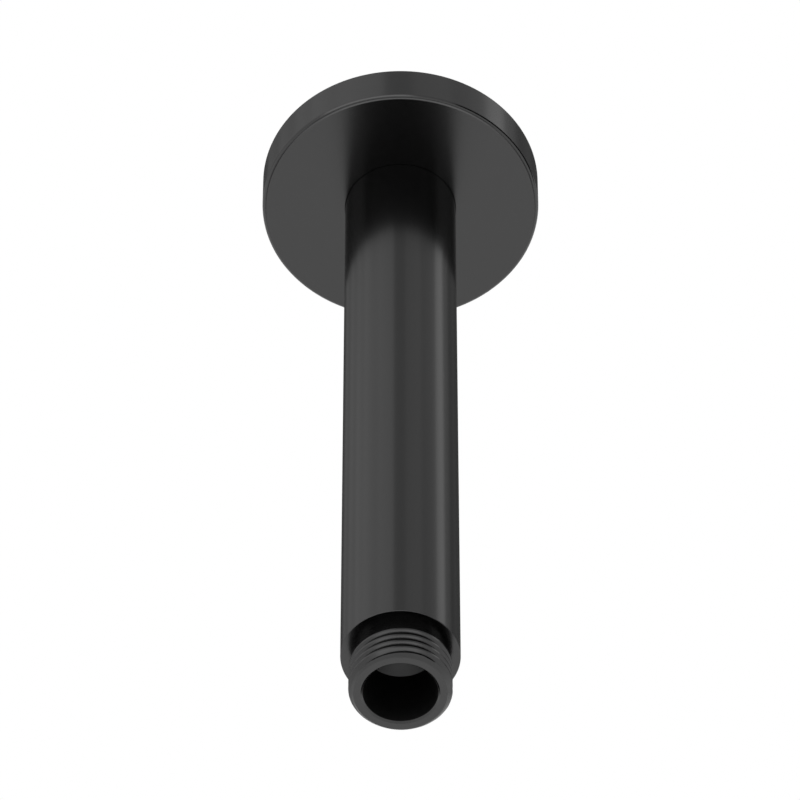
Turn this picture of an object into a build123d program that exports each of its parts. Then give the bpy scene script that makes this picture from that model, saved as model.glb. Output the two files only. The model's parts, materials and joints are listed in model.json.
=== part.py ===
from build123d import *
import math
import os

# Straight shower arm for a ceiling, with a round cover flange that slides on it.
# Millimetres, +Z up. The origin is the centre of the flange's ceiling face, and the arm hangs down along Z.

# Arm: a bar turned to a plain tube with a threaded stub at each end
TUBE_DIAMETER = 24.0
ARM_DROP = 160.0  # ceiling face down to the outlet shoulder
INLET_SETBACK = 1.0  # inlet shoulder below the ceiling face
SHOULDER_BREAK = 0.1  # chamfer on the tube's two outer corners

# Stubs: G 1/2 pipe thread, held here as a plain wall at the crests
THREAD_DIAMETER = 20.7
THREAD_LEAD = 1.0  # chamfer at the free end, down to the thread's roots
RELIEF_DIAMETER = 18.6
RELIEF_WIDTH = 2.6  # shoulder to the foot of the wall that rises to the crests
RELIEF_WALL_ANGLE = 70.0  # of that wall, to the axis
OUTLET_STUB_LENGTH = 11.2
INLET_STUB_LENGTH = 16.0

# Waterway: a drilled hole right through, opened out at the outlet by a larger drill
WATERWAY_DIAMETER = 10.0
WATERWAY_CHAMFER = 1.0
OUTLET_BORE_DIAMETER = 15.0
OUTLET_BORE_DEPTH = 14.0  # end of the stub to the start of the drill's cone
OUTLET_BORE_CHAMFER = 0.4
DRILL_POINT_ANGLE = 118.0

# Cover flange: a cup that is open towards the ceiling, with a boss around the tube
FLANGE_DIAMETER = 60.0
FLANGE_HEIGHT = 9.5
FLANGE_RIM_WALL = 2.0
FLANGE_FACE_WALL = 2.0
FLANGE_EDGE_RADIUS = 0.9
FLANGE_CORNER = 1.0  # chamfer in the inside corners of the cup
FLANGE_BREAK = 0.1  # chamfer on the ceiling edge
HOLE_BREAK = 0.05  # chamfer at both ends of the tube hole
FLANGE_CLEARANCE = 0.06  # radial, between the tube and its hole
BOSS_SETBACK = 1.5  # boss end below the ceiling face

# Grip ring: a square-cut rubber ring between the tube and the floor of its gland in the boss
RING_THICKNESS = 2.0  # radial
RING_WIDTH = 2.4  # along the tube
RING_CHAMFER = 0.4
RING_CLEARANCE = 0.03  # radial, to the tube and to the gland's floor
GLAND_SIDE_PLAY = 0.25  # on each side of the ring, along the tube
GLAND_WALL = 1.5  # boss wall behind the gland

# Sizes that follow from the ones above
tube_radius = TUBE_DIAMETER / 2
thread_radius = THREAD_DIAMETER / 2
relief_radius = RELIEF_DIAMETER / 2
waterway_radius = WATERWAY_DIAMETER / 2
outlet_bore_radius = OUTLET_BORE_DIAMETER / 2
flange_radius = FLANGE_DIAMETER / 2
inlet_end = INLET_STUB_LENGTH - INLET_SETBACK
outlet_end = -(ARM_DROP + OUTLET_STUB_LENGTH)
flange_hole_radius = tube_radius + FLANGE_CLEARANCE
ring_inner_radius = tube_radius + RING_CLEARANCE
ring_outer_radius = ring_inner_radius + RING_THICKNESS
gland_radius = ring_outer_radius + RING_CLEARANCE
gland_half_width = RING_WIDTH / 2 + GLAND_SIDE_PLAY
gland_height = -(FLANGE_HEIGHT + BOSS_SETBACK) / 2
boss_radius = gland_radius + GLAND_WALL


def turned(*section):
    """Solid of revolution about Z from the corners (radius, height) of a closed half-section."""
    return revolve(Plane.XZ * make_face(Polyline(*section, close=True)), Axis.Z)


def edge_at(solid, radius, height):
    """The circular edge of a turned solid that lies nearest to this radius and height."""
    circles = solid.edges().filter_by(GeomType.CIRCLE)
    return circles.sort_by(lambda e: math.hypot(e.radius - radius, e.arc_center.Z - height))[0]


def threaded_stub(length):
    """A stub on the XY plane: the relief groove next to the shoulder, then the thread with a chamfered end."""
    relief_wall = (thread_radius - relief_radius) / math.tan(math.radians(RELIEF_WALL_ANGLE))
    return turned(
        (0, 0),
        (relief_radius, 0),
        (relief_radius, RELIEF_WIDTH),
        (thread_radius, RELIEF_WIDTH + relief_wall),
        (thread_radius, length - THREAD_LEAD),
        (thread_radius - THREAD_LEAD, length),
        (0, length),
    )


def drilled_outlet():
    """What the larger drill takes out of the outlet end, with the cone of its point."""
    point_length = outlet_bore_radius / math.tan(math.radians(DRILL_POINT_ANGLE / 2))
    cone_start = outlet_end + OUTLET_BORE_DEPTH
    return turned(
        (0, outlet_end),
        (outlet_bore_radius, outlet_end),
        (outlet_bore_radius, cone_start),
        (0, cone_start + point_length),
    )


def arm_body():
    """The one-piece arm: tube, inlet stub above, outlet stub below, and the waterway through all three."""
    tube = turned(
        (0, -INLET_SETBACK),
        (tube_radius - SHOULDER_BREAK, -INLET_SETBACK),
        (tube_radius, -INLET_SETBACK - SHOULDER_BREAK),
        (tube_radius, -ARM_DROP + SHOULDER_BREAK),
        (tube_radius - SHOULDER_BREAK, -ARM_DROP),
        (0, -ARM_DROP),
    )
    inlet = Pos(0, 0, -INLET_SETBACK) * threaded_stub(INLET_STUB_LENGTH)
    outlet = Pos(0, 0, -ARM_DROP) * Rot(180, 0, 0) * threaded_stub(OUTLET_STUB_LENGTH)
    waterway = turned(
        (0, outlet_end),
        (waterway_radius, outlet_end),
        (waterway_radius, inlet_end),
        (0, inlet_end),
    )
    arm = tube + inlet + outlet - waterway - drilled_outlet()
    arm = chamfer(edge_at(arm, waterway_radius, inlet_end), WATERWAY_CHAMFER)
    return chamfer(edge_at(arm, outlet_bore_radius, outlet_end), OUTLET_BORE_CHAMFER)


def ceiling_flange():
    """The cup-shaped cover, with the ring's gland turned into the boss around the tube."""
    rim_inside = flange_radius - FLANGE_RIM_WALL
    face_inside = FLANGE_FACE_WALL - FLANGE_HEIGHT
    flange = turned(
        (flange_hole_radius, -FLANGE_HEIGHT),
        (flange_radius, -FLANGE_HEIGHT),
        (flange_radius, 0),
        (rim_inside, 0),
        (rim_inside, face_inside),
        (boss_radius, face_inside),
        (boss_radius, -BOSS_SETBACK),
        (flange_hole_radius, -BOSS_SETBACK),
        (flange_hole_radius, gland_height + gland_half_width),
        (gland_radius, gland_height + gland_half_width),
        (gland_radius, gland_height - gland_half_width),
        (flange_hole_radius, gland_height - gland_half_width),
    )
    flange = fillet(edge_at(flange, flange_radius, -FLANGE_HEIGHT), FLANGE_EDGE_RADIUS)
    for corner in (rim_inside, boss_radius):
        flange = chamfer(edge_at(flange, corner, face_inside), FLANGE_CORNER)
    for radius, height, size in (
        (flange_radius, 0, FLANGE_BREAK),
        (flange_hole_radius, -FLANGE_HEIGHT, HOLE_BREAK),
        (flange_hole_radius, -BOSS_SETBACK, HOLE_BREAK),
    ):
        flange = chamfer(edge_at(flange, radius, height), size)
    return flange


def flange_grip_ring():
    """The rubber ring in the middle of its gland, with chamfers that let it ride along the tube."""
    ring = turned(
        (ring_inner_radius, gland_height - RING_WIDTH / 2),
        (ring_outer_radius, gland_height - RING_WIDTH / 2),
        (ring_outer_radius, gland_height + RING_WIDTH / 2),
        (ring_inner_radius, gland_height + RING_WIDTH / 2),
    )
    return chamfer(ring.edges().filter_by(GeomType.CIRCLE), RING_CHAMFER)


os.makedirs("parts", exist_ok=True)
for piece in (arm_body, ceiling_flange, flange_grip_ring):
    export_step(piece(), f"parts/{piece.__name__}.step")
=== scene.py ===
"""Straight shower arm for a ceiling: the satin black finish, the cut threads and a plain studio.

Metres, +Z up. The origin is the centre of the flange's ceiling face, and the arm hangs down
along Z.
"""

import json
import math

import bmesh
import bpy
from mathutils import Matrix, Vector


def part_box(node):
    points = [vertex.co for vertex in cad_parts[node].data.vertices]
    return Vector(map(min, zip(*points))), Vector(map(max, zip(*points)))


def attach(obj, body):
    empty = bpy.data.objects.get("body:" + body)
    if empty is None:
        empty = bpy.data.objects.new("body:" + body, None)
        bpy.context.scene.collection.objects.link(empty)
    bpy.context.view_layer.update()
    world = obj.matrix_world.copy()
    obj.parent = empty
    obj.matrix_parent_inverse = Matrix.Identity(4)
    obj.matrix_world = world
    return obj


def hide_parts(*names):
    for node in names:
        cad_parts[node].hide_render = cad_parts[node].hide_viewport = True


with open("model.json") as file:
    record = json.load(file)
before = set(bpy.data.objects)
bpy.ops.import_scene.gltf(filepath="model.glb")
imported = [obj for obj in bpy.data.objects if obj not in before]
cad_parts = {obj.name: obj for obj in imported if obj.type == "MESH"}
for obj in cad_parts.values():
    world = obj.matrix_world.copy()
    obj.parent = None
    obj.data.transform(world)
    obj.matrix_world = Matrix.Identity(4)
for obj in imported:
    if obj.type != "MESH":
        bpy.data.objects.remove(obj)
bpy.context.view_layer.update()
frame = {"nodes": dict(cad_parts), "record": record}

MM = 0.001
mounts = {mount["name"]: mount for mount in frame["record"]["mounts"]}
arm_low, arm_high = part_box("arm_body")
flange_low, flange_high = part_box("ceiling_flange")

# Arm, with its outline taken from the frame
TUBE_RADIUS = arm_high.x
INLET_END = arm_high.z
OUTLET_END = arm_low.z
INLET_STUB_LENGTH = 16 * MM
OUTLET_STUB_LENGTH = 11.2 * MM
INLET_SHOULDER = INLET_END - INLET_STUB_LENGTH
OUTLET_SHOULDER = OUTLET_END + OUTLET_STUB_LENGTH
SHOULDER_ROUND = 0.1 * MM
RELIEF_RADIUS = 9.3 * MM
RELIEF_WIDTH = 2.6 * MM  # shoulder to the foot of the wall that rises to the thread
RELIEF_WALL_ANGLE = math.radians(70)  # of that wall, to the axis
WATERWAY_RADIUS = 5 * MM
WATERWAY_CHAMFER = 1 * MM
OUTLET_BORE_RADIUS = 7.5 * MM
OUTLET_BORE_DEPTH = 14 * MM
OUTLET_BORE_CHAMFER = 0.4 * MM
DRILL_POINT_ANGLE = math.radians(118)

# Thread: right-hand, with flat crests
INCH = 25.4 * MM
TURNS_PER_INCH = 14
PITCH = INCH / TURNS_PER_INCH
HALF_RIDGE = PITCH / 4  # from the middle of a crest to where a flank crosses the pitch line
CREST_RADIUS = mounts["outlet_thread"]["dims"]["r_mm"] * MM
PITCH_RADIUS = 9.91 * MM
ROOT_RADIUS = 9.3155 * MM
FLANK_ANGLE = math.radians(29)
LEAD_CHAMFER = 1 * MM
START_LENGTH = 0.25 * MM  # rise of the ridge over which it grows out of the relief groove
FACE_RADIUS = 9 * MM  # on the end faces, inside every groove
OUTLET_CREST = -163.17 * MM  # height of a crest on the side of +X
INLET_CREST = 6 * MM

# Cover flange
CEILING_FACE = 0
FLANGE_RADIUS = flange_high.x
FLANGE_FACE = flange_low.z
FLANGE_RIM_WALL = 2 * MM
FLANGE_FACE_WALL = 2 * MM
FLANGE_EDGE_ROUND = 0.9 * MM
FLANGE_CORNER_ROUND = 1 * MM
FLANGE_BREAK = 0.1 * MM
HOLE_BREAK = 0.05 * MM
FLANGE_CLEARANCE = 0.06 * MM
FLANGE_HOLE_RADIUS = TUBE_RADIUS + FLANGE_CLEARANCE
BOSS_RADIUS = 15.56 * MM
BOSS_END = -1.5 * MM
GLAND_RADIUS = 14.06 * MM
GLAND_HEIGHT = (FLANGE_FACE + BOSS_END) / 2
GLAND_HALF_WIDTH = 1.45 * MM

# Mesh fineness
COLUMNS = 192
ROWS_PER_FACE = 4  # on each crest, flank and root of a thread
ARC_STEPS = 5
SHARP = 0  # rounding of a corner without an arc
WELD = 0.1e-6
SHARP_ANGLE = math.radians(42)

# Finishes, with linear colours
NOISE_LOW = 0.3  # nearly all of the noise lies between these two
NOISE_HIGH = 0.7
COATING_IOR = 1.5
COATING_CLOUD_SIZE = 18 * MM
COATING_CLOUD_DETAIL = 4
COATING_DARK = (0.0005, 0.0005, 0.00055)
COATING_LIGHT = (0.001, 0.001, 0.00105)
COATING_ROUGHNESS = (0.19, 0.21)
COATING_GRAIN_SIZE = 0.25 * MM
COATING_GRAIN_DETAIL = 2
COATING_GRAIN_HEIGHT = 0.001 * MM
BORE_ROUGHNESS = 0.5
BORE_MARGIN = 0.05 * MM  # takes in the wall of the bore itself
BLOOM_SIZE = 1.5 * MM
BLOOM_DETAIL = 5
BLOOM_HEIGHT = 0.01 * MM
RUBBER_DARK = (0.012, 0.012, 0.012)
RUBBER_LIGHT = (0.024, 0.024, 0.025)
RUBBER_ROUGHNESS = (0.6, 0.8)

# View: the camera stands below and in front, and looks up at the arm
CAMERA_AIM = Vector((-0.094 * MM, 0, -76.957 * MM))
CAMERA_DISTANCE = 1.34027
CAMERA_RISE = math.radians(52.014)
CAMERA_LEVEL = math.radians(90)  # turn from straight down to level
CAMERA_LENS = 288.4  # millimetres, on the sensor width below
CAMERA_SENSOR = 36

# Studio: brightness 1 is white
WHITE = (1, 1, 1, 1)
SEEN_STRENGTH = 1
WORLD_STRENGTH = 0.5  # as light on dull surfaces
FLOOR_HEIGHT = -2.3
FLOOR_HALF_WIDTH = 30
FLOOR_ROUGHNESS = 0.9
FLOOR_DARK = (0.86, 0.86, 0.86)
FLOOR_LIGHT = (0.9, 0.9, 0.9)
MOTTLE_SIZE = 0.4
MOTTLE_DETAIL = 3
SOFTBOX_SETBACK = 0.25  # behind the arm, as the camera sees it
SOFTBOX_ABOVE_FLOOR = 0.1
SOFTBOX_WIDTH = 1.8
SOFTBOX_LENGTH = 1.9
SOFTBOX_BRIGHTNESS = 1
DOME_CENTRE = Vector((0, 0, -80 * MM))
DOME_RADIUS = 1.8
CARD_STEPS = 24
CARDS = [  # name, azimuths from the camera's side towards +X, rises, both in degrees, brightness
    # High around the arm
    ("card_rear", (140, 215), (38, 68), 0.08),
    ("card_rear_right", (112, 140), (38, 68), 0.15),
    ("card_rear_left", (215, 240), (38, 54), 0.27),
    ("card_rear_left_top", (215, 240), (54, 68), 0.21),
    ("card_left_back_top", (240, 262), (54, 68), 0.35),
    ("card_left_back", (-120, -98), (25, 54), 0.49),
    ("card_left_mid", (-98, -78), (38, 53), 0.76),
    ("card_left_mid_top", (-98, -78), (53, 68), 0.56),
    ("card_left", (-78, -45), (38, 54), 0.92),
    ("card_left_front", (-45, -13), (38, 54), 1.05),
    ("card_left_top", (-78, -55), (54, 68), 0.72),
    ("card_left_front_top", (-55, -13), (54, 68), 0.86),
    ("card_front_left", (-13, 10), (38, 62), 0.6),
    ("card_front", (10, 42), (38, 62), 0.74),
    ("card_front_right", (42, 75), (38, 62), 0.6),
    ("card_front_top", (-13, 75), (62, 68), 0.36),
    ("card_strip", (75, 95), (38, 56), 1.1),
    ("card_right_top", (75, 112), (62, 68), 0.55),
    ("card_right_mid", (75, 95), (56, 62), 0.66),
    ("card_right_back", (95, 112), (38, 62), 0.36),
    # About level with the arm
    ("card_right_flag", (38, 112), (-2, 38), 0.01),
    ("card_front_glow", (-52, 8), (-18, 5), 3),
    ("card_front_glow_top", (-52, 8), (5, 28), 2.2),
    ("card_left_glow", (-82, -52), (-18, 28), 1.2),
    # Low around the arm
    ("card_low_front", (-60, 60), (-57, -46), 0.52),
    ("card_low_left", (205, 242), (-60, -45), 0.24),
    ("card_low_right", (118, 155), (-60, -45), 0.24),
    ("card_low_left_side", (242, 258), (-64, -53), 0.1),
    ("card_low_right_side", (102, 118), (-64, -53), 0.1),
    ("card_low_front_left", (-80, -60), (-55, -43), 0.1),
    ("card_low_front_right", (60, 80), (-55, -43), 0.1),
    ("card_back_left", (189, 205), (-62, -46), 1.64),
    ("card_back_right", (155, 171), (-62, -46), 1.66),
    ("card_low_back", (160, 200), (-46, -36), 1.4),
]


def rounded(corners):
    """Half-section through corners (radius, height, rounding), with arcs at the rounded ones."""
    points = []
    for index, (radius, height, rounding) in enumerate(corners):
        corner = Vector((radius, height))
        if rounding == SHARP:
            points.append(corner)
            continue
        before = (Vector(corners[index - 1][:2]) - corner).normalized()
        after = (Vector(corners[(index + 1) % len(corners)][:2]) - corner).normalized()
        half_angle = before.angle(after) / 2
        centre = corner + (before + after).normalized() * rounding / math.sin(half_angle)
        first = corner + before * rounding / math.tan(half_angle) - centre
        last = corner + after * rounding / math.tan(half_angle) - centre
        turn = first.angle_signed(last)
        for step in range(ARC_STEPS + 1):
            angle = -turn * step / ARC_STEPS
            spun = Vector((
                first.x * math.cos(angle) - first.y * math.sin(angle),
                first.x * math.sin(angle) + first.y * math.cos(angle),
            ))
            points.append(centre + spun)
    return points


def around(radius, turn, height):
    """Point at this radius and height, a share of a turn round from +X."""
    angle = 2 * math.pi * turn
    return radius * math.cos(angle), radius * math.sin(angle), height


def skin(mesh, grid):
    """Faces between neighbouring rows of vertices."""
    for lower, upper in zip(grid, grid[1:]):
        for corners in zip(lower, lower[1:], upper[1:], upper):
            mesh.faces.new(corners)


def add_ring(mesh, radius, height):
    """Row of vertices once round the axis, the last on top of the first."""
    turns = [column / COLUMNS for column in range(COLUMNS + 1)]
    return [mesh.verts.new(around(radius, turn, height)) for turn in turns]


def add_turned(mesh, section):
    """Surface that a half-section sweeps once round the axis."""
    skin(mesh, [add_ring(mesh, radius, height) for radius, height in section])


def thread_steps():
    """Distances along the axis from the middle of a crest, over one pitch, of the drawn rows."""
    crest_edge = HALF_RIDGE - (CREST_RADIUS - PITCH_RADIUS) * math.tan(FLANK_ANGLE)
    root_edge = HALF_RIDGE + (PITCH_RADIUS - ROOT_RADIUS) * math.tan(FLANK_ANGLE)
    corners = (-crest_edge, crest_edge, root_edge, PITCH - root_edge, PITCH - crest_edge)
    steps = []
    for first, last in zip(corners, corners[1:]):
        steps += [first + (last - first) * row / ROWS_PER_FACE for row in range(ROWS_PER_FACE)]
    return steps


def thread_radius(from_crest):
    """Radius of the thread at this distance along the axis from the middle of a crest."""
    flank = PITCH_RADIUS + (HALF_RIDGE - from_crest) / math.tan(FLANK_ANGLE)
    return min(max(flank, ROOT_RADIUS), CREST_RADIUS)


def stub_radius(height, turn, relief_end, free_end, crest_height):
    """Radius of a threaded stub at this place, with the start and the end of its thread."""
    phase = (height - crest_height) / PITCH - turn
    from_crest = abs(phase - round(phase)) * PITCH
    ridge_height = crest_height + (round(phase) + turn) * PITCH
    outward = math.copysign(1, free_end - relief_end)
    grown = min(max(outward * (ridge_height - relief_end) / START_LENGTH, 0), 1)
    return min(
        RELIEF_RADIUS + (thread_radius(from_crest) - RELIEF_RADIUS) * grown,
        RELIEF_RADIUS + abs(height - relief_end) * math.tan(RELIEF_WALL_ANGLE),
        CREST_RADIUS - LEAD_CHAMFER + abs(height - free_end),
    )


def add_thread(mesh, relief_end, free_end, crest_height):
    """Right-hand thread from the relief groove to the free end, and the rim of the end face."""
    low, high = sorted((relief_end, free_end))
    first_crest = math.floor((low - crest_height) / PITCH) - 1
    last_crest = math.ceil((high - crest_height) / PITCH)
    grid = []
    for crest in range(first_crest, last_crest + 1):
        for step in thread_steps():
            row = []
            for column in range(COLUMNS + 1):
                turn = column / COLUMNS
                height = min(max(crest_height + (crest + turn) * PITCH + step, low), high)
                radius = stub_radius(height, turn, relief_end, free_end, crest_height)
                row.append(mesh.verts.new(around(radius, turn, height)))
            grid.append(row)
    skin(mesh, grid)
    outline = grid[-1] if free_end == high else grid[0]
    skin(mesh, [outline, add_ring(mesh, FACE_RADIUS, free_end)])


def mesh_data(name, mesh, material):
    """Mesh data with one material, from a working mesh that ends here."""
    data = bpy.data.meshes.new(name)
    mesh.to_mesh(data)
    mesh.free()
    data.materials.append(material)
    return data


def add_object(name, data):
    """Object in the scene with this data."""
    added = bpy.data.objects.new(name, data)
    bpy.context.scene.collection.objects.link(added)
    return added


def finish_piece(name, mesh, body, node, material):
    """Welds a mesh into one closed skin and stands it in for a CAD node."""
    bmesh.ops.remove_doubles(mesh, verts=mesh.verts[:], dist=WELD)
    bmesh.ops.recalc_face_normals(mesh, faces=mesh.faces[:])
    for face in mesh.faces:
        face.smooth = True
    data = mesh_data(name, mesh, material)
    data.set_sharp_from_angle(angle=SHARP_ANGLE)
    piece = add_object(name, data)
    weighted = piece.modifiers.new("flat_faces_stay_flat", "WEIGHTED_NORMAL")
    weighted.keep_sharp = True
    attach(piece, body)
    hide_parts(node)


def threaded_arm(material):
    """The arm in one skin: the tube between two threaded stubs, and the waterway inside it."""
    inlet_relief = INLET_SHOULDER + RELIEF_WIDTH
    outlet_relief = OUTLET_SHOULDER - RELIEF_WIDTH
    cone_start = OUTLET_END + OUTLET_BORE_DEPTH
    cone_length = (OUTLET_BORE_RADIUS - WATERWAY_RADIUS) / math.tan(DRILL_POINT_ANGLE / 2)
    outside = rounded([
        (RELIEF_RADIUS, inlet_relief, SHARP),
        (RELIEF_RADIUS, INLET_SHOULDER, SHARP),
        (TUBE_RADIUS, INLET_SHOULDER, SHOULDER_ROUND),
        (TUBE_RADIUS, OUTLET_SHOULDER, SHOULDER_ROUND),
        (RELIEF_RADIUS, OUTLET_SHOULDER, SHARP),
        (RELIEF_RADIUS, outlet_relief, SHARP),
    ])
    inside = rounded([
        (FACE_RADIUS, INLET_END, SHARP),
        (WATERWAY_RADIUS + WATERWAY_CHAMFER, INLET_END, SHARP),
        (WATERWAY_RADIUS, INLET_END - WATERWAY_CHAMFER, SHARP),
        (WATERWAY_RADIUS, cone_start + cone_length, SHARP),
        (OUTLET_BORE_RADIUS, cone_start, SHARP),
        (OUTLET_BORE_RADIUS, OUTLET_END + OUTLET_BORE_CHAMFER, SHARP),
        (OUTLET_BORE_RADIUS + OUTLET_BORE_CHAMFER, OUTLET_END, SHARP),
        (FACE_RADIUS, OUTLET_END, SHARP),
    ])
    mesh = bmesh.new()
    add_turned(mesh, outside)
    add_turned(mesh, inside)
    add_thread(mesh, inlet_relief, INLET_END, INLET_CREST)
    add_thread(mesh, outlet_relief, OUTLET_END, OUTLET_CREST)
    finish_piece("threaded_arm", mesh, "arm", "arm_body", material)


def cover_flange(material):
    """The cup-shaped cover with its boss and the gland of the grip ring."""
    rim_inside = FLANGE_RADIUS - FLANGE_RIM_WALL
    face_inside = FLANGE_FACE + FLANGE_FACE_WALL
    section = rounded([
        (FLANGE_HOLE_RADIUS, FLANGE_FACE, HOLE_BREAK),
        (FLANGE_RADIUS, FLANGE_FACE, FLANGE_EDGE_ROUND),
        (FLANGE_RADIUS, CEILING_FACE, FLANGE_BREAK),
        (rim_inside, CEILING_FACE, SHARP),
        (rim_inside, face_inside, FLANGE_CORNER_ROUND),
        (BOSS_RADIUS, face_inside, FLANGE_CORNER_ROUND),
        (BOSS_RADIUS, BOSS_END, SHARP),
        (FLANGE_HOLE_RADIUS, BOSS_END, HOLE_BREAK),
        (FLANGE_HOLE_RADIUS, GLAND_HEIGHT + GLAND_HALF_WIDTH, SHARP),
        (GLAND_RADIUS, GLAND_HEIGHT + GLAND_HALF_WIDTH, SHARP),
        (GLAND_RADIUS, GLAND_HEIGHT - GLAND_HALF_WIDTH, SHARP),
        (FLANGE_HOLE_RADIUS, GLAND_HEIGHT - GLAND_HALF_WIDTH, SHARP),
    ])
    mesh = bmesh.new()
    add_turned(mesh, section + section[:1])
    finish_piece("cover_flange", mesh, "flange", "ceiling_flange", material)


def new_material(name):
    """A node material, with its node tree and its surface shader."""
    material = bpy.data.materials.new(name)
    material.use_nodes = True
    return material, material.node_tree, material.node_tree.nodes["Principled BSDF"]


def add_noise(tree, size, detail):
    """Noise whose blotches are about this size, in object space."""
    place = tree.nodes.new("ShaderNodeTexCoord")
    noise = tree.nodes.new("ShaderNodeTexNoise")
    noise.inputs["Scale"].default_value = 1 / size
    noise.inputs["Detail"].default_value = detail
    tree.links.new(place.outputs["Object"], noise.inputs["Vector"])
    return noise.outputs["Fac"]


def add_range(tree, value, levels):
    """Noise spread between two levels."""
    spread = tree.nodes.new("ShaderNodeMapRange")
    spread.inputs["From Min"].default_value = NOISE_LOW
    spread.inputs["From Max"].default_value = NOISE_HIGH
    spread.inputs["To Min"].default_value, spread.inputs["To Max"].default_value = levels
    tree.links.new(value, spread.inputs["Value"])
    return spread.outputs["Result"]


def add_tone(tree, value, dark, light, socket):
    """Drives a colour socket from noise, between two colours."""
    ramp = tree.nodes.new("ShaderNodeValToRGB")
    ramp.color_ramp.elements[0].position = NOISE_LOW
    ramp.color_ramp.elements[0].color = (*dark, 1)
    ramp.color_ramp.elements[1].position = NOISE_HIGH
    ramp.color_ramp.elements[1].color = (*light, 1)
    tree.links.new(value, ramp.inputs["Fac"])
    tree.links.new(ramp.outputs["Color"], socket)


def add_grain(tree, value, height, socket):
    """Bumps a shader's normal by noise of this height."""
    bump = tree.nodes.new("ShaderNodeBump")
    bump.inputs["Distance"].default_value = height
    tree.links.new(value, bump.inputs["Height"])
    tree.links.new(bump.outputs["Normal"], socket)


def bore_share(tree):
    """One in the arm's bore, where the coating is thin and dull, and nothing outside it."""
    place = tree.nodes.new("ShaderNodeTexCoord")
    across = tree.nodes.new("ShaderNodeVectorMath")
    across.operation = "MULTIPLY"
    across.inputs[1].default_value = (1, 1, 0)  # drops the height
    tree.links.new(place.outputs["Object"], across.inputs[0])
    radius = tree.nodes.new("ShaderNodeVectorMath")
    radius.operation = "LENGTH"
    tree.links.new(across.outputs["Vector"], radius.inputs[0])
    inside = tree.nodes.new("ShaderNodeMath")
    inside.operation = "LESS_THAN"
    inside.inputs[1].default_value = OUTLET_BORE_RADIUS + BORE_MARGIN
    tree.links.new(radius.outputs["Value"], inside.inputs[0])
    return inside.outputs["Value"]


def satin_black():
    """Black coating over brass: almost no colour of its own, a soft gloss and a very fine grain."""
    material, tree, shader = new_material("black_coating")
    shader.inputs["IOR"].default_value = COATING_IOR
    clouds = add_noise(tree, COATING_CLOUD_SIZE, COATING_CLOUD_DETAIL)
    grain = add_noise(tree, COATING_GRAIN_SIZE, COATING_GRAIN_DETAIL)
    add_tone(tree, clouds, COATING_DARK, COATING_LIGHT, shader.inputs["Base Color"])
    smooth = add_range(tree, clouds, COATING_ROUGHNESS)
    dull = tree.nodes.new("ShaderNodeMix")
    dull.inputs["B"].default_value = BORE_ROUGHNESS
    tree.links.new(bore_share(tree), dull.inputs["Factor"])
    tree.links.new(smooth, dull.inputs["A"])
    tree.links.new(dull.outputs["Result"], shader.inputs["Roughness"])
    add_grain(tree, grain, COATING_GRAIN_HEIGHT, shader.inputs["Normal"])
    return material


def ring_rubber():
    """Matt black nitrile rubber with a dusty bloom."""
    material, tree, shader = new_material("nitrile_rubber")
    bloom = add_noise(tree, BLOOM_SIZE, BLOOM_DETAIL)
    add_tone(tree, bloom, RUBBER_DARK, RUBBER_LIGHT, shader.inputs["Base Color"])
    tree.links.new(add_range(tree, bloom, RUBBER_ROUGHNESS), shader.inputs["Roughness"])
    add_grain(tree, bloom, BLOOM_HEIGHT, shader.inputs["Normal"])
    return material


def seen_rays(tree):
    """One for the rays that show a background: from the camera, or by way of gloss or glass."""
    path = tree.nodes.new("ShaderNodeLightPath")
    total = path.outputs["Is Camera Ray"]
    for other in ("Is Glossy Ray", "Is Transmission Ray"):
        plus = tree.nodes.new("ShaderNodeMath")
        plus.operation = "ADD"
        plus.use_clamp = True
        tree.links.new(total, plus.inputs[0])
        tree.links.new(path.outputs[other], plus.inputs[1])
        total = plus.outputs["Value"]
    return total


def white_world():
    """White surroundings where they are seen, and a weaker even light from them."""
    world = bpy.data.worlds.new("white_surroundings")
    world.use_nodes = True
    tree = world.node_tree
    light = tree.nodes["Background"]
    seen = tree.nodes.new("ShaderNodeBackground")
    for background, strength in ((light, WORLD_STRENGTH), (seen, SEEN_STRENGTH)):
        background.inputs["Color"].default_value = WHITE
        background.inputs["Strength"].default_value = strength
    mix = tree.nodes.new("ShaderNodeMixShader")
    tree.links.new(seen_rays(tree), mix.inputs["Fac"])
    tree.links.new(light.outputs["Background"], mix.inputs[1])
    tree.links.new(seen.outputs["Background"], mix.inputs[2])
    tree.links.new(mix.outputs["Shader"], tree.nodes["World Output"].inputs["Surface"])
    bpy.context.scene.world = world


def pale_floor():
    """The floor of the room, far below the ceiling that the arm hangs from."""
    material, tree, shader = new_material("pale_floor")
    mottle = add_noise(tree, MOTTLE_SIZE, MOTTLE_DETAIL)
    add_tone(tree, mottle, FLOOR_DARK, FLOOR_LIGHT, shader.inputs["Base Color"])
    shader.inputs["Roughness"].default_value = FLOOR_ROUGHNESS
    shader.inputs["Emission Color"].default_value = WHITE
    tree.links.new(seen_rays(tree), shader.inputs["Emission Strength"])
    data = bpy.data.meshes.new("floor")
    half = FLOOR_HALF_WIDTH
    outline = ((-half, -half), (half, -half), (half, half), (-half, half))
    data.from_pydata([(x, y, FLOOR_HEIGHT) for x, y in outline], [], [(0, 1, 2, 3)])
    data.materials.append(material)
    floor = add_object("floor", data)


def direction(azimuth, rise):
    """Unit vector at an azimuth, from the camera's side towards +X, and a rise, in degrees."""
    flat = math.cos(math.radians(rise))
    across = math.radians(azimuth)
    return Vector((flat * math.sin(across), -flat * math.cos(across), math.sin(math.radians(rise))))


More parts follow.
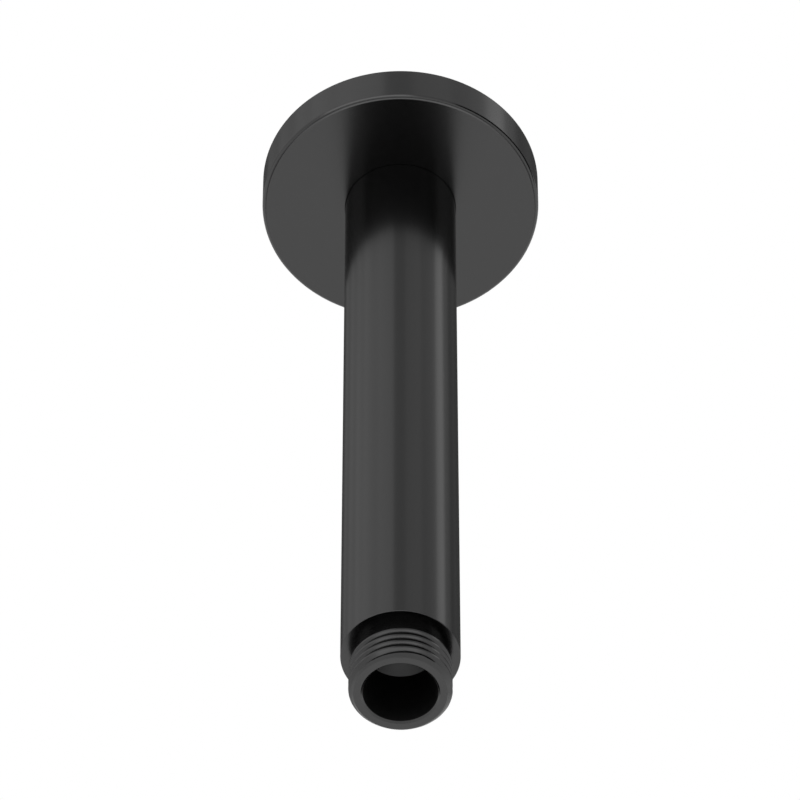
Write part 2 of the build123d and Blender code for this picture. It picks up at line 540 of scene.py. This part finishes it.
def studio_card(name, azimuths, rises, brightness):
    """Curved card on a dome about the arm, which the camera itself doesn't see."""
    material, tree, shader = new_material(name)
    tree.nodes.remove(shader)
    glow = tree.nodes.new("ShaderNodeEmission")
    glow.inputs["Strength"].default_value = brightness
    tree.links.new(glow.outputs["Emission"], tree.nodes["Material Output"].inputs["Surface"])
    mesh = bmesh.new()
    grid = []
    for row_number in range(CARD_STEPS + 1):
        rise = rises[0] + (rises[1] - rises[0]) * row_number / CARD_STEPS
        row = []
        for column in range(CARD_STEPS + 1):
            azimuth = azimuths[0] + (azimuths[1] - azimuths[0]) * column / CARD_STEPS
            row.append(mesh.verts.new(DOME_CENTRE + DOME_RADIUS * direction(azimuth, rise)))
        grid.append(row)
    skin(mesh, grid)
    card = add_object(name, mesh_data(name, mesh, material))
    card.visible_camera = False


def softbox_below():
    """Rectangular lamp near the floor that faces up and adds its brightness in that direction."""
    lamp = bpy.data.lights.new("softbox_below", "AREA")
    lamp.shape = "RECTANGLE"
    lamp.size = SOFTBOX_WIDTH
    lamp.size_y = SOFTBOX_LENGTH
    lamp.energy = SOFTBOX_BRIGHTNESS * math.pi * SOFTBOX_WIDTH * SOFTBOX_LENGTH
    holder = add_object("softbox_below", lamp)
    place = Vector((0, SOFTBOX_SETBACK, FLOOR_HEIGHT + SOFTBOX_ABOVE_FLOOR))
    aim = Vector((0, SOFTBOX_SETBACK, 0))
    holder.location = place
    holder.rotation_euler = (aim - place).to_track_quat("-Z", "Y").to_euler()
    holder.visible_camera = False


def photo_camera():
    """Camera at the photograph's angle, looking up at the middle of the arm."""
    lens = bpy.data.cameras.new("camera")
    lens.lens = CAMERA_LENS
    lens.sensor_width = CAMERA_SENSOR
    camera = add_object("camera", lens)
    forward = Vector((0, math.cos(CAMERA_RISE), math.sin(CAMERA_RISE)))
    camera.location = CAMERA_AIM - forward * CAMERA_DISTANCE
    camera.rotation_euler = (CAMERA_LEVEL + CAMERA_RISE, 0, 0)
    bpy.context.scene.camera = camera


black = satin_black()
threaded_arm(black)
cover_flange(black)
ring = frame["nodes"]["flange_grip_ring"]
ring.data.materials.clear()
ring.data.materials.append(ring_rubber())

white_world()
pale_floor()
for card in CARDS:
    studio_card(*card)
softbox_below()
photo_camera()
bpy.context.scene.view_settings.view_transform = "Standard"
